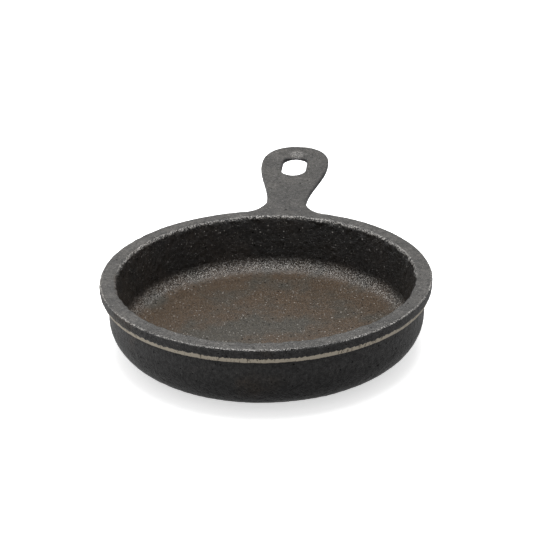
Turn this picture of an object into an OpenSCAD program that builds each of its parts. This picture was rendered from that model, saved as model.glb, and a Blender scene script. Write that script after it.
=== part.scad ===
// Small round cast iron skillet with a flat tab handle.
// The skillet is a single iron casting. Each node below is one named region of that
// casting, and neighbouring regions meet face to face with no gap and no overlap.
// Origin: centre of the resting face. +Z is up and the handle points along +Y.

/* [Bowl] */
// Outside diameter over the rim
rim_d = 127; // [110:1:160]
// Height from the resting face to the top of the rim
pan_h = 28.4; // [27:0.2:40]
// Thickness of the floor
floor_t = 4.7; // [3.5:0.1:6]
// Radius of the outside corner between the base and the wall
corner_r = 14; // [10:0.5:18]
// Radius of the inside fillet between the floor and the wall
fillet_r = 6.2; // [4:0.2:8]
// Draft of the inside wall, in degrees
draft_a = 4.5; // [2:0.5:6]

/* [Rim] */
// Width of the flat top of the rim, from its inside edge to its outside face
rim_w = 6.5; // [5.5:0.1:8]
// Height of the thickened collar under the rim
collar_h = 5.8; // [5:0.1:8]
// How far the collar stands out of the wall below it
collar_step = 2.85; // [2:0.05:3.2]
// Rounding of the rim's two top edges
edge_r = 0.7; // [0.4:0.1:1]

/* [Ground band] */
// Height of the ground band round the collar's lower edge
band_h = 2.5; // [1.5:0.1:3.5]
// How far the band's lower edge is ground in from the collar's face
band_cut = 0.95; // [0.4:0.05:1.2]
// Depth of the band, measured in from its surface
band_depth = 1.2; // [0.8:0.1:1.5]

/* [Handle] */
// Length of the handle from the rim to its tip
handle_l = 59.4; // [50:0.2:75]
// Thickness of the handle
handle_t = 2.8; // [2.6:0.1:3.3]
// Upward tilt of the handle, in degrees
handle_tilt = 7; // [0:0.5:10]
// Width of the neck
neck_w = 17.2; // [14:0.1:20]
// Width of the head at its widest point
head_w = 29.8; // [27:0.1:34]
// Radius of the flares that join the neck to the rim
flare_r = 9; // [6:0.5:11]
// Width of the hanging slot
slot_w = 10.4; // [8:0.1:13]
// Length of the hanging slot
slot_l = 17.8; // [14:0.1:19]

/* [Hidden] */
$fn = 96;

iron_brown = "#4a423b";
iron_black = "#2c2b2a";
iron_grey = "#5c5955";
bare_iron = "#a29a8c";

edge_steps = 4;
outline_steps = 24;
over = 1;

rim_r = rim_d / 2;
wall_r = rim_r - collar_step;
mouth_r = rim_r - rim_w;
base_r = wall_r - corner_r;
collar_z = pan_h - collar_h;
band_z = collar_z + band_h;
band_foot_r = rim_r - band_cut;

// Centre of the inside fillet, which touches both the floor and the drafted wall
fillet_z = floor_t + fillet_r;
fillet_c = mouth_r - (pan_h - fillet_z) * tan(draft_a) - fillet_r / cos(draft_a);

// Stations along the handle, measured from the rim
neck_y = sqrt(pow(rim_r + flare_r, 2) - pow(neck_w / 2 + flare_r, 2)) - rim_r;
head_y = handle_l * 0.734;
slot_y = handle_l * 0.691;
root_y = -6;
head_power = 0.9;

// Points on an arc about c, from angle a to angle b
function arc(c, r, a, b, n) = [
    for (i = [0:n]) let (t = a + (b - a) * i / n) [c[0] + r * cos(t), c[1] + r * sin(t)]
];

// Half width of the handle between the neck (u = 0) and the widest point (u = 1)
function flank(u) = neck_w / 2 + (head_w - neck_w) / 2 * pow(sin(90 * u), 2);

// Half width of the head between the widest point (a = 0) and the tip (a = 90)
function head_half(a) = head_w / 2 * pow(cos(a), head_power);
function head_along(a) = head_y + (handle_l - head_y) * pow(sin(a), head_power);

// One side of the handle's outline, from the neck to just short of the tip
side_points = concat(
    [for (i = [0:outline_steps - 1]) let (u = i / outline_steps)
        [flank(u), neck_y + (head_y - neck_y) * u]],
    [for (i = [0:outline_steps - 1]) let (a = 90 * i / outline_steps)
        [head_half(a), head_along(a)]]
);

// Section of the bowl's outside: flat base, rounded corner and upright wall
module outside_section() {
    square([base_r, collar_z]);
    translate([0, corner_r]) square([wall_r, collar_z - corner_r]);
    translate([base_r, corner_r]) circle(r = corner_r);
}

// Section of the hollow: flat floor, fillet and drafted wall
module hollow_section() {
    polygon([
        [0, floor_t],
        [fillet_c, floor_t],
        [fillet_c, fillet_z],
        [fillet_c + fillet_r * cos(draft_a), fillet_z - fillet_r * sin(draft_a)],
        [mouth_r, pan_h],
        [0, pan_h]
    ]);
    translate([fillet_c, fillet_z]) circle(r = fillet_r);
}

// Section of the whole collar, with its ground lower edge, out to the rim's face
module collar_section() {
    polygon(concat(
        [[mouth_r - collar_h * tan(draft_a), collar_z], [band_foot_r, collar_z], [rim_r, band_z]],
        arc([rim_r - edge_r, pan_h - edge_r], edge_r, 0, 90, edge_steps),
        arc([mouth_r + edge_r, pan_h - edge_r], edge_r, 90, 180 - draft_a, edge_steps)
    ));
}

// Section of the ground band, which is let into the collar's lower edge
module band_section() {
    polygon([
        [band_foot_r - band_depth, collar_z],
        [band_foot_r, collar_z],
        [rim_r, band_z],
        [rim_r - band_depth, band_z]
    ]);
}

// Outline of the handle, with the flares at its root
module handle_outline() {
    polygon(concat(
        side_points,
        [[0, handle_l]],
        [for (i = [len(side_points) - 1:-1:0]) [-side_points[i][0], side_points[i][1]]]
    ));
    difference() {
        translate([-neck_w / 2 - flare_r, root_y])
            square([neck_w + 2 * flare_r, neck_y - root_y]);
        for (side = [-1, 1])
            translate([side * (neck_w / 2 + flare_r), neck_y]) circle(r = flare_r);
    }
}

// Hanging slot, with round ends
module hanging_slot() {
    straight = slot_l - slot_w;
    for (end = [-1, 1])
        translate([0, slot_y + end * straight / 2, -handle_t - over])
            cylinder(d = slot_w, h = handle_t + 2 * over);
    translate([-slot_w / 2, slot_y - straight / 2, -handle_t - over])
        cube([slot_w, straight, handle_t + 2 * over]);
}

module pan_floor() {
    color(iron_brown) cylinder(r = base_r, h = floor_t, $fn = 180);
}

module side_wall() {
    color(iron_black) rotate_extrude($fn = 180) difference() {
        intersection() {
            outside_section();
            translate([base_r, 0]) square([corner_r, collar_z]);
        }
        hollow_section();
    }
}

module rim_collar() {
    color(iron_grey) rotate_extrude($fn = 180) difference() {
        collar_section();
        band_section();
    }
}

module ground_band() {
    color(bare_iron) rotate_extrude($fn = 180) band_section();
}

module handle() {
    color(iron_grey) difference() {
        translate([0, rim_r, pan_h]) rotate([handle_tilt, 0, 0]) difference() {
            translate([0, 0, -handle_t]) linear_extrude(height = handle_t) handle_outline();
            hanging_slot();
        }
        rotate_extrude($fn = 180) {
            collar_section();
            square([mouth_r, pan_h]);
        }
    }
}

pan_floor();
side_wall();
rim_collar();
ground_band();
handle();
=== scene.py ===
"""A small cast iron skillet: one casting, shown as five named regions that share one skin.

The skin is the zero level of a distance field, sampled on a fine grid and meshed once, so that
neighbouring regions share their edge points and no seam shows. Lengths are in millimetres until
the meshes are made.
"""

import math
from types import SimpleNamespace

import bpy
import numpy as np
from mathutils import Matrix, Vector


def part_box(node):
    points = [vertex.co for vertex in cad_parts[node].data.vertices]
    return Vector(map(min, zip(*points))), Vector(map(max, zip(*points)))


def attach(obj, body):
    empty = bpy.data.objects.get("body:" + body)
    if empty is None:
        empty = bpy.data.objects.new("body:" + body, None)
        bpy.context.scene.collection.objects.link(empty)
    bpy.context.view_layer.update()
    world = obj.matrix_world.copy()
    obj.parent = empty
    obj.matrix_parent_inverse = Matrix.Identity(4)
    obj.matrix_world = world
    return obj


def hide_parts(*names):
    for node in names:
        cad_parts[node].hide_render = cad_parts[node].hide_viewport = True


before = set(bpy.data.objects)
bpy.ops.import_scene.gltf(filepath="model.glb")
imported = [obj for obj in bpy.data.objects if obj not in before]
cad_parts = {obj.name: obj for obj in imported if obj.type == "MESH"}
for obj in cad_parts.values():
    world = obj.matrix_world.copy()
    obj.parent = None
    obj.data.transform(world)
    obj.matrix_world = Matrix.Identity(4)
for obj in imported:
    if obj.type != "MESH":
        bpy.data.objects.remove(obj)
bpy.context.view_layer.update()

MM = 0.001


# ---------------------------------------------------------------- sizes


def node_box(node):
    """Lowest and highest corner of a CAD node, in millimetres."""
    low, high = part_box(node)
    return np.array(low) / MM, np.array(high) / MM


collar_low, collar_high = node_box("rim_collar")
band_high = node_box("ground_band")[1]
floor_high = node_box("pan_floor")[1]
handle_high = node_box("handle")[1]

COLLAR_STEP = 2.85
RIM_R = collar_high[0]
PAN_H = collar_high[2]
COLLAR_Z = collar_low[2]
BAND_Z = band_high[2]
WALL_R = RIM_R - COLLAR_STEP
BASE_R = floor_high[0]
FLOOR_T = floor_high[2]
CORNER_R = WALL_R - BASE_R
TIP_Y = handle_high[1]
HANDLE_L = TIP_Y - RIM_R

RIM_W = 6.5
MOUTH_R = RIM_R - RIM_W
DRAFT = math.radians(4.5)
FILLET_R = 6.2
BAND_CUT = 0.95
BAND_DEPTH = 1.2
BAND_EDGE_R = 0.3
COLLAR_ROOT_R = 0.9
OUTER_EDGE_R = 0.95
INNER_EDGE_R = 1.5

TILT = math.radians(7)
BEND = 2.0
NECK_HALF = 8.6
HEAD_HALF = 15.0
HEAD_S = HANDLE_L * 0.73
HEAD_POWER = 0.9
HANDLE_T = 2.8
HANDLE_EDGE_R = 1.0
UNDER_EDGE_R = 1.1
FLARE_R = 9.0
ROOT_INSET = 7.0
ROOT_FILLET_R = 2.0
SLOT_HALF = 5.2
SLOT_L = 17.8
SLOT_S = HANDLE_L * 0.687
SLOT_EDGE_R = 1.0
DISH_DEPTH = 1.3
DISH_ALONG = math.sqrt(5.8)
DISH_ACROSS = math.sqrt(26.0)

# How far the skin lies inside the CAD surfaces, to leave room for the relief of the casting
SKIN_INSET = 0.12

# Spacing of the grid that the skin is meshed on
CELL = 0.56


# ---------------------------------------------------------------- distance field


def round_join(a, b, radius):
    """Union of two fields, with a fillet where they meet."""
    u = np.maximum(radius - a, 0)
    v = np.maximum(radius - b, 0)
    return np.maximum(radius, np.minimum(a, b)) - np.sqrt(u * u + v * v)


def round_cut(a, b, radius):
    """Intersection of two fields, with a rounded edge where they meet."""
    u = np.maximum(radius + a, 0)
    v = np.maximum(radius + b, 0)
    return np.minimum(-radius, np.maximum(a, b)) + np.sqrt(u * u + v * v)


def smooth(t):
    """A smooth step from 0 to 1 as t goes from 0 to 1."""
    t = np.clip(t, 0, 1)
    return t * t * (3 - 2 * t)


def taper_field(rad, z):
    """Distance outside the ground taper round the collar's lower edge."""
    slope = math.atan2(BAND_CUT, BAND_Z - COLLAR_Z)
    return (rad - RIM_R) * math.cos(slope) - (z - BAND_Z) * math.sin(slope)


def hollow_field(rad, z):
    """Negative inside the bowl's hollow."""
    wall = (rad - MOUTH_R) * math.cos(DRAFT) + (PAN_H - z) * math.sin(DRAFT)
    return round_cut(wall, FLOOR_T - z, FILLET_R)


def bowl_field(rad, z):
    """The bowl without its hollow."""
    wall = round_cut(rad - WALL_R, -z, CORNER_R)
    collar = round_cut(rad - RIM_R, taper_field(rad, z), BAND_EDGE_R)
    collar = round_cut(collar, COLLAR_Z - z, BAND_EDGE_R)
    outside = round_join(wall, collar, COLLAR_ROOT_R)
    return round_cut(outside, z - PAN_H, OUTER_EDGE_R)


def flank_half(s):
    """Half width of the handle from the neck to its widest point, by place along the handle."""
    neck_s = math.sqrt((RIM_R + FLARE_R) ** 2 - (NECK_HALF + FLARE_R) ** 2) - RIM_R
    u = np.clip((s - neck_s) / (HEAD_S - neck_s), 0, 1)
    return NECK_HALF + (HEAD_HALF - NECK_HALF) * np.sin(math.pi / 2 * u) ** 2


def outline_points():
    """The right side of the handle's outline, from inside the rim to the tip."""
    s = np.linspace(-2 * ROOT_INSET, HEAD_S, 70)
    a = np.linspace(0, math.pi / 2, 60)[1:]
    head = HEAD_HALF * np.cos(a) ** HEAD_POWER
    along = HEAD_S + (HANDLE_L - HEAD_S) * np.sin(a) ** HEAD_POWER
    head[-1] = 0
    return np.concatenate([s, along]), np.concatenate([flank_half(s), head])


def outline_table(step=0.25):
    """Signed distance to the handle's outline, on a fine grid that reaches past the flares."""
    s_line, w_line = outline_points()
    s0, w0 = -ROOT_INSET - 3, -1.0
    s = np.arange(s0, HANDLE_L + 6, step)
    w = np.arange(w0, HEAD_HALF + FLARE_R + 8, step)
    S, W = np.meshgrid(s, w, indexing="ij")
    best = np.full(S.shape, 1e9)
    for a, b, c, d in zip(s_line[:-1], w_line[:-1], s_line[1:], w_line[1:]):
        ds, dw = c - a, d - b
        t = np.clip(((S - a) * ds + (W - b) * dw) / (ds * ds + dw * dw), 0, 1)
        best = np.minimum(best, np.hypot(S - a - t * ds, W - b - t * dw))
    inside = np.abs(W) < np.interp(S, s_line, w_line, right=-1)
    return s0, w0, step, np.where(inside, -best, best)


OUTLINE = outline_table()


def outline_field(s, w):
    """Signed distance to the handle's outline, read from the grid with linear interpolation."""
    s0, w0, step, values = OUTLINE
    i = np.clip((s - s0) / step, 0, values.shape[0] - 1.001)
    j = np.clip((w - w0) / step, 0, values.shape[1] - 1.001)
    i0, j0 = i.astype(int), j.astype(int)
    a, b = i - i0, j - j0
    low = values[i0, j0] * (1 - a) + values[i0 + 1, j0] * a
    high = values[i0, j0 + 1] * (1 - a) + values[i0 + 1, j0 + 1] * a
    return low * (1 - b) + high * b


def handle_height(s):
    """Height of the handle's top face: level at the rim, then rising at the tilt."""
    rise = (s + np.sqrt(s * s + BEND * BEND)) / 2 - BEND / 2
    return PAN_H + math.tan(TILT) * rise


def slot_dish(s, w):
    """Depth of the shallow dish in the top face at the far end of the slot."""
    centre = SLOT_S + SLOT_L / 2 + 0.6
    return DISH_DEPTH * np.exp(-(((s - centre) / DISH_ALONG) ** 2 + (w / DISH_ACROSS) ** 2))


def handle_field(x, y, z, rad):
    """The tab handle with its flared root and its hanging slot."""
    s, w = y - RIM_R, np.abs(x)
    plan = outline_field(s, w) + np.zeros_like(rad)
    plan = round_join(plan, rad - RIM_R, FLARE_R)
    top = handle_height(s)
    lean = math.cos(TILT)
    plate = round_cut(plan, (z - top + slot_dish(s, w)) * lean, HANDLE_EDGE_R)
    plate = round_cut(plate, (top - HANDLE_T - z) * lean, UNDER_EDGE_R)
    straight = SLOT_L / 2 - SLOT_HALF
    along = np.maximum(np.abs(s - SLOT_S) - straight, 0)
    slot = np.hypot(along, w) - SLOT_HALF
    plate = round_cut(plate, -slot, SLOT_EDGE_R)
    return np.maximum(plate, -ROOT_INSET - s)


def skillet_field(x, y, z):
    """The whole casting, negative in the metal."""
    rad = np.hypot(x, y)
    bowl = bowl_field(rad, z)
    near = handle_field(x, y, z, rad)
    # The fillet under the handle's root fades out towards the level top face
    fillet = 0.05 + ROOT_FILLET_R * smooth((PAN_H - 1.2 - z) / 1.4)
    body = round_join(bowl, near, fillet)
    return round_cut(body, -hollow_field(rad, z), INNER_EDGE_R) + SKIN_INSET


# ---------------------------------------------------------------- regions and mesh

REGIONS = ["pan_floor", "side_wall", "rim_collar", "ground_band", "handle"]
FLOOR, WALL, COLLAR, BAND, HANDLE = range(1, 6)


def region_of(x, y, z):
    """The region that each point of the metal belongs to."""
    rad = np.hypot(x, y) + np.zeros_like(z)
    region = np.where(rad < BASE_R, FLOOR, WALL)
    region = np.where(z > COLLAR_Z, COLLAR, region)
    in_band = (z > COLLAR_Z) & (z < BAND_Z) & (taper_field(rad, z) > -BAND_DEPTH)
    region = np.where(in_band, BAND, region)
    return np.where(rad > RIM_R, HANDLE, region).astype(np.uint8)


def sample_grid():
    """Grid lines round the skillet, the field at their crossings, and the region there."""
    margin = 2.3 * CELL
    low = np.array([-RIM_R, -RIM_R, 0.0]) - margin
    high = np.array([RIM_R, TIP_Y, handle_high[2]]) + margin
    lines = [np.arange(a, b, CELL) for a, b in zip(low, high)]
    x = lines[0][:, None, None]
    y = lines[1][None, :, None]
    z = lines[2][None, None, :]
    field = skillet_field(x, y, z)
    region = np.where(field < 0, region_of(x, y, z), 0).astype(np.uint8)
    return lines, field, region


def crossing_edges(region, axis):
    """Start points of the grid edges along an axis whose ends are in different regions."""
    low, high = [slice(None)] * 3, [slice(None)] * 3
    low[axis], high[axis] = slice(None, -1), slice(1, None)
    return np.argwhere(region[tuple(low)] != region[tuple(high)])


def cells_round(start, axis, shape):
    """The four cells that share each grid edge, in turn round it."""
    b, c = (axis + 1) % 3, (axis + 2) % 3
    corners = []
    for db, dc in ((-1, -1), (0, -1), (0, 0), (-1, 0)):
        cell = start.copy()
        cell[:, b] += db
        cell[:, c] += dc
        corners.append(np.ravel_multi_index(cell.T, shape))
    return np.stack(corners, 1)


def mesh_regions():
    """Surface nets: one point per mixed cell, and one four-sided face per crossing edge."""
    lines, field, region = sample_grid()
    origin = np.array([line[0] for line in lines])
    quads, owners, cells, points, skin = [], [], [], [], []
    for axis in range(3):
        start = crossing_edges(region, axis)
        end = start + (np.arange(3) == axis)
        ra, rb = region[tuple(start.T)], region[tuple(end.T)]
        fa, fb = field[tuple(start.T)], field[tuple(end.T)]
        on_skin = (ra == 0) | (rb == 0)
        t = np.where(on_skin, fa / np.where(on_skin, fa - fb, 1), 0.5)
        place = start.astype(float)
        place[:, axis] += t
        corners = cells_round(start, axis, region.shape)
        quads.append(corners)
        owners.append(np.stack([ra, rb], 1))
        cells.append(corners.T.ravel())
        points.append(np.tile(place, (4, 1)))
        skin.append(np.tile(on_skin, 4))
    quads, owners = np.concatenate(quads), np.concatenate(owners)
    cells, points, skin = np.concatenate(cells), np.concatenate(points), np.concatenate(skin)
    # A point with any crossing on the skin is the mean of those crossings alone
    ids, index = np.unique(cells, return_inverse=True)
    use = np.bincount(index, skin) > 0
    weight = np.where(use[index], skin, True).astype(float)
    total = np.bincount(index, weight)
    place = np.stack([np.bincount(index, weight * points[:, i]) for i in range(3)], 1)
    place = origin + place / total[:, None] * CELL
    quads = np.searchsorted(ids, quads)
    return place, use, quads, owners


def field_gradient(p, reach=0.05):
    """The field at each point, and its slope there."""
    value = skillet_field(p[:, 0], p[:, 1], p[:, 2])
    slope = np.empty_like(p)
    for axis in range(3):
        step = np.zeros(3)
        step[axis] = reach
        a, b = p + step, p - step
        slope[:, axis] = skillet_field(*a.T) - skillet_field(*b.T)
    return value, slope / (2 * reach)


def settle_on_skin(p, rounds=4):
    """Moves points onto the zero level of the field."""
    for _ in range(rounds):
        value, slope = field_gradient(p)
        squared = np.maximum((slope**2).sum(1), 0.2)
        move = value / squared
        p = p - slope * np.clip(move, -CELL, CELL)[:, None]
    return p


# ---------------------------------------------------------------- relief of the casting


def lattice(i, j, k, seed):
    """A repeatable random number from -1 to 1 for each grid point."""
    h = (i * 374761393 + j * 668265263 + k * 1442695041 + seed * 974634777) & 0xFFFFFFFF
    h = ((h ^ (h >> 13)) * 1274126177) & 0xFFFFFFFF
    h = ((h ^ (h >> 16)) * 2246822519) & 0xFFFFFFFF
    return ((h ^ (h >> 15)) & 0xFFFF) / 32767.5 - 1


def noise(p, size, seed):
    """Smooth noise from -1 to 1 whose lumps are about `size` across."""
    q = p / size
    base = np.floor(q).astype(np.int64)
    f = q - base
    f = f * f * f * (f * (f * 6 - 15) + 10)
    total = 0
    for di in (0, 1):
        for dj in (0, 1):
            for dk in (0, 1):
                weight = (
                    (f[:, 0] if di else 1 - f[:, 0])
                    * (f[:, 1] if dj else 1 - f[:, 1])
                    * (f[:, 2] if dk else 1 - f[:, 2])
                )
                corner = lattice(base[:, 0] + di, base[:, 1] + dj, base[:, 2] + dk, seed)
                total = total + weight * corner
    return total


def pits(p, spacing, radius, seed, share):
    """Small round pits: one at a random place in some cells of a grid, 0 to 1 deep."""
    q = p / spacing
    base = np.floor(q).astype(np.int64)
    deepest = np.zeros(len(p))
    for di in (-1, 0, 1):
        for dj in (-1, 0, 1):
            for dk in (-1, 0, 1):
                c = [base[:, 0] + di, base[:, 1] + dj, base[:, 2] + dk]
                centre = [c[n] + 0.5 + 0.4 * lattice(*c, seed + n) for n in range(3)]
                away = sum((q[:, n] - centre[n]) ** 2 for n in range(3))
                size = radius / spacing * (0.75 + 0.35 * lattice(*c, seed + 4))
                present = lattice(*c, seed + 3) < share * 2 - 1
                depth = np.clip(1 - away / size**2, 0, 1) * present
                deepest = np.maximum(deepest, depth)
    return deepest


def relief_zones(rad, z):
    """Where the hollow, its flat floor, its wall, the top face and the outside are, 0 to 1."""
    mid_wall = MOUTH_R + 0.9 - math.tan(DRAFT) * (PAN_H - z)
    inside = smooth((mid_wall - rad) / 1.2) * smooth((z - FLOOR_T + 1.0) / 0.6)
    flat = smooth((BASE_R + 3 - rad) / 6) * inside
    wall = inside * (1 - flat)
    top = (1 - inside) * smooth((z - PAN_H + 1.0) / 0.8)
    outside = 1 - np.maximum(inside, top)
    return inside, flat, wall, top, outside


def relief(p):
    """How far the cast skin stands out of the smooth one, in millimetres."""
    rad, z = np.hypot(p[:, 0], p[:, 1]), p[:, 2]
    inside, flat, wall, top, outside = relief_zones(rad, z)
    lip = np.exp(-(((rad - MOUTH_R) / 1.4) ** 2)) * smooth((z - PAN_H + 3.5) / 2.0)
    brow = np.exp(-(((rad - RIM_R) / 1.3) ** 2)) * smooth((z - PAN_H + 2.5) / 1.5)
    coarse, medium, fine = noise(p, 2.6, 7), noise(p, 1.7, 5), noise(p, 1.15, 6)

    # Slow waves everywhere, and a light grain on all but the wall of the hollow
    out = 0.05 * noise(p, 17, 1) + 0.03 * noise(p, 7, 2)
    out = out + (0.045 * medium + 0.05 * fine) * (0.8 * top + outside + 0.6 * flat)

    # The wall of the hollow is rough, more so near the top than in the ring at its foot
    ring = smooth((FLOOR_T + 8 - z) / 4)
    out = out + wall * (0.11 * medium + 0.14 * fine) * (1 - 0.5 * ring)
    high_wall = wall * smooth((z - PAN_H * 0.45) / (PAN_H * 0.4))
    out = out + high_wall * np.maximum(coarse - 0.2, 0) * 0.4

    # Uneven edges of the rim, and small pits
    out = out + lip * (0.26 * coarse + 0.2 * medium) + brow * (0.06 * coarse + 0.06 * medium)
    out = out - 0.3 * pits(p, 6.0, 0.8, 20, 0.35) * (top + 0.7 * flat + 0.6 * outside)
    return np.where(inside + lip > 0.5, out, np.minimum(out, SKIN_INSET * 0.95))


# ---------------------------------------------------------------- pieces


def face_normals(points, quads):
    """Outward normals of four-sided faces, each as long as twice the face's area."""
    a, b, c, d = (points[quads[:, n]] for n in range(4))
    return np.cross(c - a, d - b)


def unit(v):
    """The vectors at length one."""
    return v / np.maximum(np.linalg.norm(v, axis=1, keepdims=True), 1e-12)


def region_faces(quads, owners, region):
    """Faces round one region, turned to face out of it, and which of them are skin."""
    mine = owners[:, 0] == region
    theirs = owners[:, 1] == region
    faces = np.concatenate([quads[mine], quads[theirs][:, ::-1]])
    skin = np.concatenate([owners[mine][:, 1] == 0, owners[theirs][:, 0] == 0])
    return faces, skin


def skin_normals(points, quads, owners):
    """Shading directions of the whole skin, shared by the pieces so that no seam shows."""
    out_first = quads[owners[:, 1] == 0]
    out_second = quads[owners[:, 0] == 0][:, ::-1]
    faces = np.concatenate([out_first, out_second])
    normals = face_normals(points, faces)
    total = np.zeros_like(points)
    for axis in range(3):
        total[:, axis] = np.bincount(
            faces.ravel(), np.repeat(normals[:, axis], 4), minlength=len(points)
        )
    return total


def make_piece(name, points, faces, skin, shading):
    """A closed mesh object in metres, with the shared shading directions on its skin."""
    used, index = np.unique(faces, return_inverse=True)
    faces_here = index.reshape(faces.shape)
    mesh = bpy.data.meshes.new(name)
    mesh.vertices.add(len(used))
    mesh.vertices.foreach_set("co", (points[used] * MM).astype(np.float32).ravel())
    mesh.loops.add(faces_here.size)
    mesh.loops.foreach_set("vertex_index", faces_here.astype(np.int32).ravel())
    mesh.polygons.add(len(faces_here))
    mesh.polygons.foreach_set("loop_start", np.arange(0, faces_here.size, 4, dtype=np.int32))
    mesh.update(calc_edges=True)
    mesh.polygons.foreach_set("use_smooth", np.ones(len(faces_here), bool))
    flat = unit(face_normals(points, faces))
    directions = np.where(skin[:, None, None], unit(shading)[faces], flat[:, None, :])
    mesh.normals_split_custom_set(directions.reshape(-1, 3).astype(np.float32))
    mesh.update()
    piece = bpy.data.objects.new(name, mesh)
    bpy.context.scene.collection.objects.link(piece)
    return piece


def settle_seams(points, quads, owners, on_skin):
    """Moves hidden points between two regions onto the true boundary between them."""
    hidden = ~on_skin
    rad = np.maximum(np.hypot(points[:, 0], points[:, 1]), 1e-6)
    low, high = owners.min(1), owners.max(1)

    def hidden_points(faces):
        near = np.zeros(len(points), bool)
        near[quads[faces].ravel()] = True
        return near & hidden

    for a, b, radius in ((FLOOR, WALL, BASE_R), (COLLAR, HANDLE, RIM_R), (BAND, HANDLE, RIM_R)):
        near = hidden_points((low == a) & (high == b))
        points[near, :2] *= (radius / rad[near])[:, None]
    for a in (FLOOR, WALL):
        near = hidden_points((low == a) & (high > WALL))
        points[near, 2] = COLLAR_Z
    return points


def build_skillet():
    """The five pieces of the casting."""
    points, on_skin, quads, owners = mesh_regions()
    skin_points = settle_on_skin(points[on_skin])
    _, slope = field_gradient(skin_points)
    skin_points = skin_points + unit(slope) * relief(skin_points)[:, None]
    points = settle_seams(points, quads, owners, on_skin)
    points[on_skin] = skin_points
    shading = skin_normals(points, quads, owners)
    made = {}
    for number, name in enumerate(REGIONS, start=1):
        faces, skin = region_faces(quads, owners, number)
        made[name] = make_piece("cast_" + name, points, faces, skin, shading)
    return made


# ---------------------------------------------------------------- shader nodes


class Nodes:
    """Short names for the shader nodes that the materials use. Places are in millimetres."""

    def __init__(self, name):
        self.material = bpy.data.materials.new(name)
        self.material.use_nodes = True
        self.tree = self.material.node_tree
        self.surface = self.tree.nodes["Principled BSDF"]
        place = self.tree.nodes.new("ShaderNodeTexCoord").outputs["Object"]
        self.place = self.vector("SCALE", place, scale=1 / MM)
        parts = self.tree.nodes.new("ShaderNodeSeparateXYZ")
        self.link(self.place, parts.inputs[0])
        self.x, self.y, self.z = parts.outputs
        flat = self.vector("MULTIPLY", self.place, (1, 1, 0))
        self.rad = self.vector("LENGTH", flat, output="Value")

    def link(self, source, target):
        """Joins a socket to an input, or sets the input to a plain value."""
        if isinstance(source, bpy.types.NodeSocket):
            self.tree.links.new(source, target)
        else:
            target.default_value = source

    def vector(self, operation, a, b=None, scale=None, output="Vector"):
        """A vector maths node."""
        node = self.tree.nodes.new("ShaderNodeVectorMath")
        node.operation = operation
        self.link(a, node.inputs[0])
        if b is not None:
            self.link(b, node.inputs[1])
        if scale is not None:
            self.link(scale, node.inputs["Scale"])
        return node.outputs[output]

    def math(self, operation, a, b=0.0, c=0.0):
        """A maths node."""
        node = self.tree.nodes.new("ShaderNodeMath")
        node.operation = operation
        for value, target in zip((a, b, c), node.inputs):
            self.link(value, target)
        return node.outputs[0]

    def times(self, *factors):
        """The product of all the factors."""
        product = factors[0]
        for factor in factors[1:]:
            product = self.math("MULTIPLY", product, factor)
        return product

    def away(self, value, centre):
        """Distance of a value from a centre."""
        return self.math("ABSOLUTE", self.math("SUBTRACT", value, centre))

    def step(self, value, low, high, out_low=0.0, out_high=1.0):
        """A smooth step of value from low to high."""
        node = self.tree.nodes.new("ShaderNodeMapRange")
        node.interpolation_type = "SMOOTHSTEP"
        for source, target in zip((value, low, high, out_low, out_high), node.inputs):
            self.link(source, target)
        return node.outputs[0]

    def point(self, x, y):
        """A place in a plane of its own, for patterns that do not follow the object."""
        node = self.tree.nodes.new("ShaderNodeCombineXYZ")
        self.link(x, node.inputs[0])
        self.link(y, node.inputs[1])
        return node.outputs[0]

    def noise(self, size, detail=2.0, roughness=0.5, place=None):
        """Noise from 0 to 1 whose lumps are about `size` millimetres across."""
        node = self.tree.nodes.new("ShaderNodeTexNoise")
        self.link(place or self.place, node.inputs["Vector"])
        node.inputs["Scale"].default_value = 1 / size
        node.inputs["Detail"].default_value = detail
        node.inputs["Roughness"].default_value = roughness
        return node.outputs["Fac"]

    def dots(self, spacing, radius, share):
        """Small scattered dots, from 0 to 1: one in some of the cells of a random pattern."""
        node = self.tree.nodes.new("ShaderNodeTexVoronoi")
        self.link(self.place, node.inputs["Vector"])
        node.inputs["Scale"].default_value = 1 / spacing
        parts = self.tree.nodes.new("ShaderNodeSeparateColor")
        self.link(node.outputs["Color"], parts.inputs[0])
        edge = radius / spacing
        inside = self.step(node.outputs["Distance"], edge * 1.15, edge * 0.6)
        chosen = self.math("LESS_THAN", parts.outputs[0], share)
        return self.math("MULTIPLY", inside, chosen)

    def mix(self, share, a, b):
        """A colour between a and b."""
        node = self.tree.nodes.new("ShaderNodeMix")
        node.data_type = "RGBA"
        self.link(share, node.inputs["Factor"])
        for value, name in ((a, "A"), (b, "B")):
            target = [n for n in node.inputs if n.name == name and n.type == "RGBA"][0]
            if isinstance(value, tuple):
                value = (*value, 1.0)
            self.link(value, target)
        return [n for n in node.outputs if n.type == "RGBA"][0]

    def mix_value(self, share, a, b):
        """A number between a and b."""
        node = self.tree.nodes.new("ShaderNodeMix")
        for value, target in zip((share, a, b), (node.inputs[0], node.inputs[2], node.inputs[3])):
            self.link(value, target)
        return node.outputs[0]

    def tint(self, colour, amount):
        """The colour made lighter or darker by a factor that varies over the surface."""
        return self.vector("SCALE", colour, scale=amount)

    def bump(self, height, distance):
        """Shading directions tilted by a height of up to `distance` millimetres."""
        node = self.tree.nodes.new("ShaderNodeBump")
        node.inputs["Strength"].default_value = 1.0
        node.inputs["Distance"].default_value = distance * MM
        self.link(height, node.inputs["Height"])
        return node.outputs[0]


# ---------------------------------------------------------------- cast iron

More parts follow.
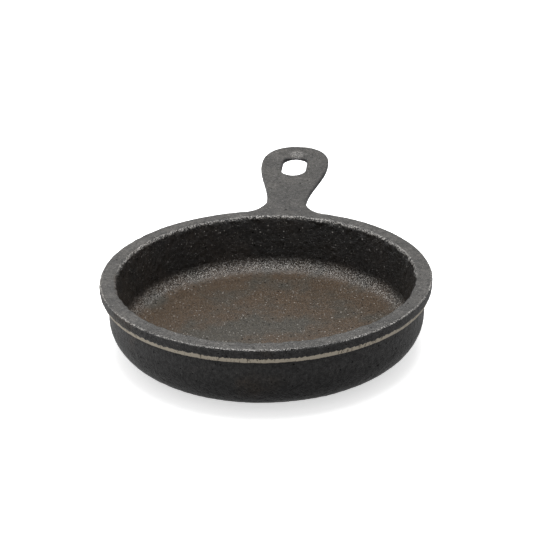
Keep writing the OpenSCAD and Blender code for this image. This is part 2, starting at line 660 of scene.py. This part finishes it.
BROWN = (0.046, 0.031, 0.019)
GREY_PATINA = (0.037, 0.033, 0.026)
WARM_GREY = (0.0262, 0.0242, 0.0212)
LIGHT_GREY = (0.0415, 0.0385, 0.0350)
BLACK_IRON = (0.028, 0.027, 0.0265)
WALL_BLACK = (0.006, 0.0056, 0.0053)
WALL_BROWN = (0.011, 0.0085, 0.007)
RUST_TINT = (0.044, 0.029, 0.017)
BARE_IRON = (0.80, 0.71, 0.57)
DULL_IRON = (0.60, 0.53, 0.42)
TICK_BROWN = (0.12, 0.085, 0.05)
# Colour of the painted glints on single grains
PAINTED_GLINT = (0.36, 0.345, 0.325)

# Lump sizes of the patterns in the iron, from stains down to single grains
CLOUD_SIZE = 19.0
BLOTCH_SIZE = 9.0
PATCH_SIZE = 5.0
COARSE_SIZE = 1.3
GRAIN_SIZE = 0.55

# Strength of the gloss in each zone
OUTSIDE_GLOSS = 0.55
WALL_GLOSS = 0.55
FLOOR_GLOSS = 0.28
RIM_GLOSS = 0.36


def iron_zones(n):
    """Masks from 0 to 1 for the zones of the pan, and the patterns that all zones share."""
    geometry = n.tree.nodes.new("ShaderNodeNewGeometry")
    facing = n.tree.nodes.new("ShaderNodeSeparateXYZ")
    n.link(geometry.outputs["Normal"], facing.inputs[0])
    up = facing.outputs["Z"]
    # The draft is added back to the radius, so that one limit follows the middle of the wall
    upright_rad = n.math("MULTIPLY_ADD", n.math("SUBTRACT", PAN_H, n.z), math.tan(DRAFT), n.rad)
    in_mouth = n.step(upright_rad, MOUTH_R + 0.9, MOUTH_R - 0.1)
    hollow = n.times(in_mouth, n.step(n.z, FLOOR_T - 1.0, FLOOR_T - 0.4))
    level_top = n.times(n.step(n.z, PAN_H - 1.6, PAN_H - 0.5), n.step(up, 0.75, 0.97))
    flat = n.times(hollow, n.step(n.z, FLOOR_T + 1.4, FLOOR_T + 0.2))
    coarse = n.noise(COARSE_SIZE)
    mottle = n.step(coarse, 0.30, 0.70, 0.68, 1.32)
    pores = n.math("MAXIMUM", n.dots(3.2, 0.5, 0.4), n.dots(1.5, 0.3, 0.2))
    return SimpleNamespace(
        up=up,
        hollow=hollow,
        flat=flat,
        top=n.times(level_top, n.math("SUBTRACT", 1.0, hollow)),
        # Painted shade: 0.12 at the foot up to 1 near the collar, dimming the outside's colour,
        # gloss and glints
        painted_base_shade=n.step(n.z, 1.0, COLLAR_Z * 0.8, 0.12, 1.0),
        cloud=n.noise(CLOUD_SIZE, 3.0),
        patch=n.noise(PATCH_SIZE, 4.0, 0.6),
        grain=n.noise(GRAIN_SIZE, 2.0, 0.55),
        coarse=coarse,
        mottle=n.mix_value(flat, mottle, n.step(coarse, 0.36, 0.24, 1.0, 0.6)),
        unpitted=n.math("SUBTRACT", 1.0, n.times(pores, 0.8)),
    )


def edge_mask(n, radius, width, depth):
    """A strip along one of the rim's top edges, from 0 to 1."""
    strip = n.step(n.away(n.rad, radius), width, width * 0.4)
    return n.times(strip, n.step(n.z, PAN_H - depth, PAN_H - depth * 0.5))


def band_mask(n):
    """The ground band, with a crisp lower edge and a ragged upper edge, and its own places."""
    around = n.times(n.math("ARCTAN2", n.x, n.y), RIM_R)
    place = n.point(around, n.times(n.z, 0.25))
    teeth = n.noise(1.1, roughness=0.6, place=place)
    drift = n.noise(14.0, 1.0, place=place)
    top_edge = n.math("MULTIPLY_ADD", teeth, 1.9, BAND_Z - 1.4)
    top_edge = n.math("MULTIPLY_ADD", drift, 0.8, n.math("SUBTRACT", top_edge, 0.35))
    below = n.step(n.math("SUBTRACT", n.z, top_edge), 0.12, -0.12)
    above = n.step(n.z, COLLAR_Z - 0.02, COLLAR_Z + 0.16)
    out = n.step(n.rad, RIM_R - BAND_CUT - 0.85, RIM_R - BAND_CUT - 0.45)
    clear_of_handle = n.step(n.y, RIM_R + 0.6, RIM_R - 0.4)
    return n.times(n.times(below, above), n.times(out, clear_of_handle)), place


def cooking_colour(n, zone):
    """Cooking surface: brown patina with grey zones, and a dark wall above it."""
    brownness = n.math("MULTIPLY_ADD", zone.patch, 0.15, zone.cloud)
    brownness = n.math("ADD", brownness, n.step(n.rad, 8, 40, 0.0, 0.12))
    patina = n.mix(n.step(brownness, 0.50, 0.74), GREY_PATINA, BROWN)
    wall_tone = n.mix(n.step(zone.cloud, 0.4, 0.7), WALL_BLACK, WALL_BROWN)
    low = n.step(n.z, FLOOR_T + 7.0, FLOOR_T + 0.5)
    return n.mix(low, wall_tone, patina)


def outside_colour(n, zone):
    """Outside: charcoal with faint brown, more of it on the left, and painted shade darkening it
    towards the base.
    """
    rusty = n.math("MULTIPLY_ADD", n.x, -0.003, zone.cloud)
    rust = n.times(n.step(rusty, 0.55, 0.72), 0.6)
    # Painted shade darkens the outside towards the base
    return n.tint(n.mix(rust, BLACK_IRON, RUST_TINT), zone.painted_base_shade)


def worn_colour_and_side_shade(n, zone):
    """Rim and handle: worn mid grey, with painted shade on the right side, and darker at the
    handle's root.
    """
    worn = n.mix(n.step(zone.patch, 0.35, 0.7), WARM_GREY, LIGHT_GREY)
    worn = n.tint(worn, n.step(n.noise(BLOTCH_SIZE), 0.38, 0.62, 0.8, 1.2))
    # Painted shade: the right side darker, as the light falls from the left
    worn = n.tint(worn, n.step(n.x, -45, 60, 1.04, 0.86))
    return n.tint(worn, n.step(n.away(n.y, RIM_R + 6), 5, 16, 0.88, 1.0))


def rim_glints(n, zone):
    """Painted glints on grains along the rim's edges: the inner one at the back, the outer in
    places.
    """
    lip = n.times(edge_mask(n, MOUTH_R, 1.0, 1.8), n.step(n.y, -15, 15))
    brow = n.times(
        edge_mask(n, RIM_R, 1.1, 0.8),
        n.step(zone.up, 0.995, 0.95),
        n.step(zone.cloud, 0.34, 0.48, 0.15, 1.0),
        n.step(zone.up, 0.45, 0.68),
    )
    return n.times(n.math("MAXIMUM", lip, brow), n.step(zone.grain, 0.48, 0.56))


def ring_glints(n, zone):
    """Painted glints on grains in the ring at the foot of the wall, most of them at the back."""
    ring = n.times(
        zone.hollow,
        n.step(n.z, FLOOR_T + 0.1, FLOOR_T + 1.6),
        n.step(n.z, FLOOR_T + 6.0, FLOOR_T + 2.5),
        n.step(n.y, -25, 40, 0.3, 0.8),
    )
    return n.times(ring, n.step(zone.grain, 0.54, 0.62))


def scattered_glints(n, zone):
    """Painted glints on single grains: most high on the inner wall, fewest on the outside."""
    small = n.times(n.dots(0.75, 0.22, 0.35), 0.42)
    grains = n.math("MAXIMUM", small, n.dots(1.6, 0.3, 0.3))
    on_wall = n.step(n.z, PAN_H * 0.35, PAN_H * 0.95, 0.45, 1.0)
    amount = n.mix_value(zone.hollow, 0.22, on_wall)
    amount = n.mix_value(zone.flat, amount, 0.6)
    amount = n.mix_value(zone.top, amount, 0.32)
    return n.times(grains, amount)


def dish_glints(n, zone):
    """A painted highlight in the dish beyond the hanging slot."""
    centre_y = RIM_R + SLOT_S + SLOT_L / 2 + 2.6
    place = n.point(n.times(n.x, 0.6), n.math("SUBTRACT", n.y, centre_y))
    spot = n.step(n.vector("LENGTH", place, output="Value"), 2.6, 0.8)
    return n.times(spot, zone.top, n.step(zone.grain, 0.40, 0.62))


def painted_glints(n, zone):
    """How far the grains are painted bright as glints, from 0 to 1."""
    crowd = n.math("MAXIMUM", rim_glints(n, zone), ring_glints(n, zone))
    bright = n.math("MAXIMUM", n.times(crowd, 0.85), scattered_glints(n, zone))
    bright = n.math("MAXIMUM", bright, n.times(dish_glints(n, zone), 0.55))
    # The painted shade at the base dims the painted glints outside too
    return n.times(bright, n.mix_value(zone.hollow, zone.painted_base_shade, 1.0))


def bare_colour(n, place):
    """Ground band: bare metal with dark vertical grinding ticks."""
    bare = n.mix(n.noise(6.0, place=place), BARE_IRON, DULL_IRON)
    ticks = n.step(n.noise(0.8, roughness=0.6, place=place), 0.44, 0.32)
    return n.mix(n.times(ticks, 0.8), bare, TICK_BROWN)


def iron_roughness(n, zone, band):
    """Satin, in patches, and duller on the rim, the floor and the ground band."""
    rough = n.math("MULTIPLY_ADD", zone.patch, 0.14, 0.26)
    rough = n.math("MULTIPLY_ADD", zone.top, 0.08, rough)
    rough = n.math("MULTIPLY_ADD", zone.flat, 0.10, rough)
    return n.math("MULTIPLY_ADD", band, 0.2, rough)


def iron_bump(n, zone, band):
    """The finest grain of the casting, weaker on the worn and the ground surfaces."""
    strength = n.math("MULTIPLY_ADD", zone.top, -0.2, 1.0)
    strength = n.math("MULTIPLY_ADD", zone.flat, -0.5, strength)
    strength = n.times(strength, n.math("MULTIPLY_ADD", band, -0.7, 1.0))
    height = n.times(n.math("MULTIPLY_ADD", zone.coarse, 0.35, zone.grain), strength)
    return n.bump(height, 0.5)


def iron_gloss(n, zone):
    """Strength of the gloss by zone, with mottling and dull pores, and painted shade weakening it
    towards the base.
    """
    # Painted shade: the outside's gloss fades towards the base
    gloss = n.times(zone.painted_base_shade, OUTSIDE_GLOSS)
    inside = n.step(zone.flat, 0.0, 1.0, WALL_GLOSS, FLOOR_GLOSS)
    gloss = n.mix_value(zone.hollow, gloss, inside)
    gloss = n.mix_value(zone.top, gloss, RIM_GLOSS)
    return n.times(gloss, zone.unpitted, n.mix_value(0.5, 1.0, zone.mottle))


def iron_material(name):
    """Seasoned cast iron whose colour and finish follow the zones of the pan."""
    n = Nodes(name)
    zone = iron_zones(n)
    band, band_place = band_mask(n)
    colour = n.mix(zone.hollow, outside_colour(n, zone), cooking_colour(n, zone))
    colour = n.mix(zone.top, colour, worn_colour_and_side_shade(n, zone))
    colour = n.tint(colour, n.step(zone.grain, 0.30, 0.70, 0.5, 1.5))
    colour = n.tint(colour, zone.mottle)
    # Painted glints: single grains lightened towards the glint colour
    colour = n.mix(painted_glints(n, zone), colour, PAINTED_GLINT)
    colour = n.tint(colour, zone.unpitted)
    colour = n.mix(band, colour, bare_colour(n, band_place))
    n.link(colour, n.surface.inputs["Base Color"])
    n.link(iron_roughness(n, zone, band), n.surface.inputs["Roughness"])
    n.link(iron_bump(n, zone, band), n.surface.inputs["Normal"])
    n.link(iron_gloss(n, zone), n.surface.inputs["Specular IOR Level"])
    return n.material


# ---------------------------------------------------------------- stage, light and camera

TABLE_HALF = RIM_R * 60
TABLE_DROP = 0.02

FRONT_LIGHT, BACK_LIGHT = 0.5, 0.98
LEFT_LIGHT, RIGHT_LIGHT = 1.18, 0.74
LOW_LIGHT, HIGH_LIGHT = 0.5, 1.0

LAMP_PLACE = (0, 60, 700)
LAMP_SIZE = 460
LAMP_WATTS = 6.5

CAMERA_AZIMUTH = math.radians(7.56)
CAMERA_ELEVATION = math.radians(24.47)
CAMERA_ROLL = math.radians(1.334)
CAMERA_DISTANCE = RIM_R * 9
CAMERA_LENS = 101.25
AIM_RIGHT, AIM_Z = 0.325, 31.03


def make_table():
    """A wide pale table just under the pan, left out of the light that the pan reflects."""
    mesh = bpy.data.meshes.new("floor")
    half, low = TABLE_HALF * MM, -TABLE_DROP * MM
    corners = [(-half, -half, low), (half, -half, low), (half, half, low), (-half, half, low)]
    mesh.from_pydata(corners, [], [(0, 1, 2, 3)])
    table = bpy.data.objects.new("floor", mesh)
    bpy.context.scene.collection.objects.link(table)
    material = bpy.data.materials.new("studio_floor")
    material.use_nodes = True
    surface = material.node_tree.nodes["Principled BSDF"]
    surface.inputs["Base Color"].default_value = (0.9, 0.9, 0.9, 1)
    surface.inputs["Roughness"].default_value = 0.9
    surface.inputs["Emission Color"].default_value = (1, 1, 1, 1)
    surface.inputs["Emission Strength"].default_value = 0.6
    mesh.materials.append(material)
    table.visible_diffuse = False
    table.visible_glossy = False


def make_lamp():
    """A soft round lamp above the pan, turned to face it."""
    light = bpy.data.lights.new("key", "AREA")
    light.shape = "DISK"
    light.size = LAMP_SIZE * MM
    light.energy = LAMP_WATTS
    lamp = bpy.data.objects.new("key", light)
    lamp.location = Vector(LAMP_PLACE) * MM
    lamp.rotation_mode = "QUATERNION"
    lamp.rotation_quaternion = (-lamp.location).to_track_quat("-Z", "Y")
    bpy.context.scene.collection.objects.link(lamp)


def make_world():
    """White to the camera; as a light, bright behind the pan and dim in front of it and below."""
    world = bpy.data.worlds.new("studio")
    bpy.context.scene.world = world
    world.use_nodes = True
    tree = world.node_tree

    def join(operation, a, b):
        node = tree.nodes.new("ShaderNodeMath")
        node.operation = operation
        tree.links.new(a, node.inputs[0])
        tree.links.new(b, node.inputs[1])
        return node.outputs[0]

    def graded(source, low, high, out_low, out_high):
        node = tree.nodes.new("ShaderNodeMapRange")
        node.interpolation_type = "SMOOTHSTEP"
        tree.links.new(source, node.inputs[0])
        for value, target in zip((low, high, out_low, out_high), node.inputs[1:5]):
            target.default_value = value
        return node.outputs[0]

    direction = tree.nodes.new("ShaderNodeSeparateXYZ")
    tree.links.new(tree.nodes.new("ShaderNodeTexCoord").outputs["Generated"], direction.inputs[0])
    across = graded(direction.outputs["X"], -0.9, 0.9, LEFT_LIGHT, RIGHT_LIGHT)
    back = graded(direction.outputs["Y"], -0.9, 0.9, FRONT_LIGHT, BACK_LIGHT)
    up = graded(direction.outputs["Z"], -0.1, 0.1, LOW_LIGHT, HIGH_LIGHT)
    light = join("MULTIPLY", join("MULTIPLY", across, back), up)
    camera_ray = tree.nodes.new("ShaderNodeLightPath").outputs["Is Camera Ray"]
    background = tree.nodes["Background"]
    background.inputs["Color"].default_value = (1, 1, 1, 1)
    tree.links.new(join("MAXIMUM", light, camera_ray), background.inputs["Strength"])


def make_camera():
    """The photograph's viewpoint: a long lens, about 25 degrees above the table."""
    data = bpy.data.cameras.new("camera")
    data.lens, data.sensor_width = CAMERA_LENS, 36
    data.clip_start, data.clip_end = 0.01, 20
    camera = bpy.data.objects.new("camera", data)
    sin_a, cos_a = math.sin(CAMERA_AZIMUTH), math.cos(CAMERA_AZIMUTH)
    sin_e, cos_e = math.sin(CAMERA_ELEVATION), math.cos(CAMERA_ELEVATION)
    back = Vector((sin_a * cos_e, -cos_a * cos_e, sin_e))
    right = Vector((cos_a, sin_a, 0))
    aim = right * AIM_RIGHT + Vector((0, 0, AIM_Z))
    camera.location = (aim + back * CAMERA_DISTANCE) * MM
    roll = Matrix.Rotation(-CAMERA_ROLL, 3, "Z").to_quaternion()
    camera.rotation_mode = "QUATERNION"
    camera.rotation_quaternion = (-back).to_track_quat("-Z", "Y") @ roll
    bpy.context.scene.collection.objects.link(camera)
    bpy.context.scene.camera = camera


SLOTS = {
    "pan_floor": "cooking_surface",
    "side_wall": "outer_iron",
    "rim_collar": "rim_iron",
    "ground_band": "bare_iron",
    "handle": "rim_iron",
}

for node, piece in build_skillet().items():
    piece.data.materials.append(iron_material(SLOTS[node] + "_" + node))
    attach(piece, "root")
    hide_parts(node)

make_table()
make_lamp()
make_world()
make_camera()
bpy.context.scene.view_settings.view_transform = "Standard"
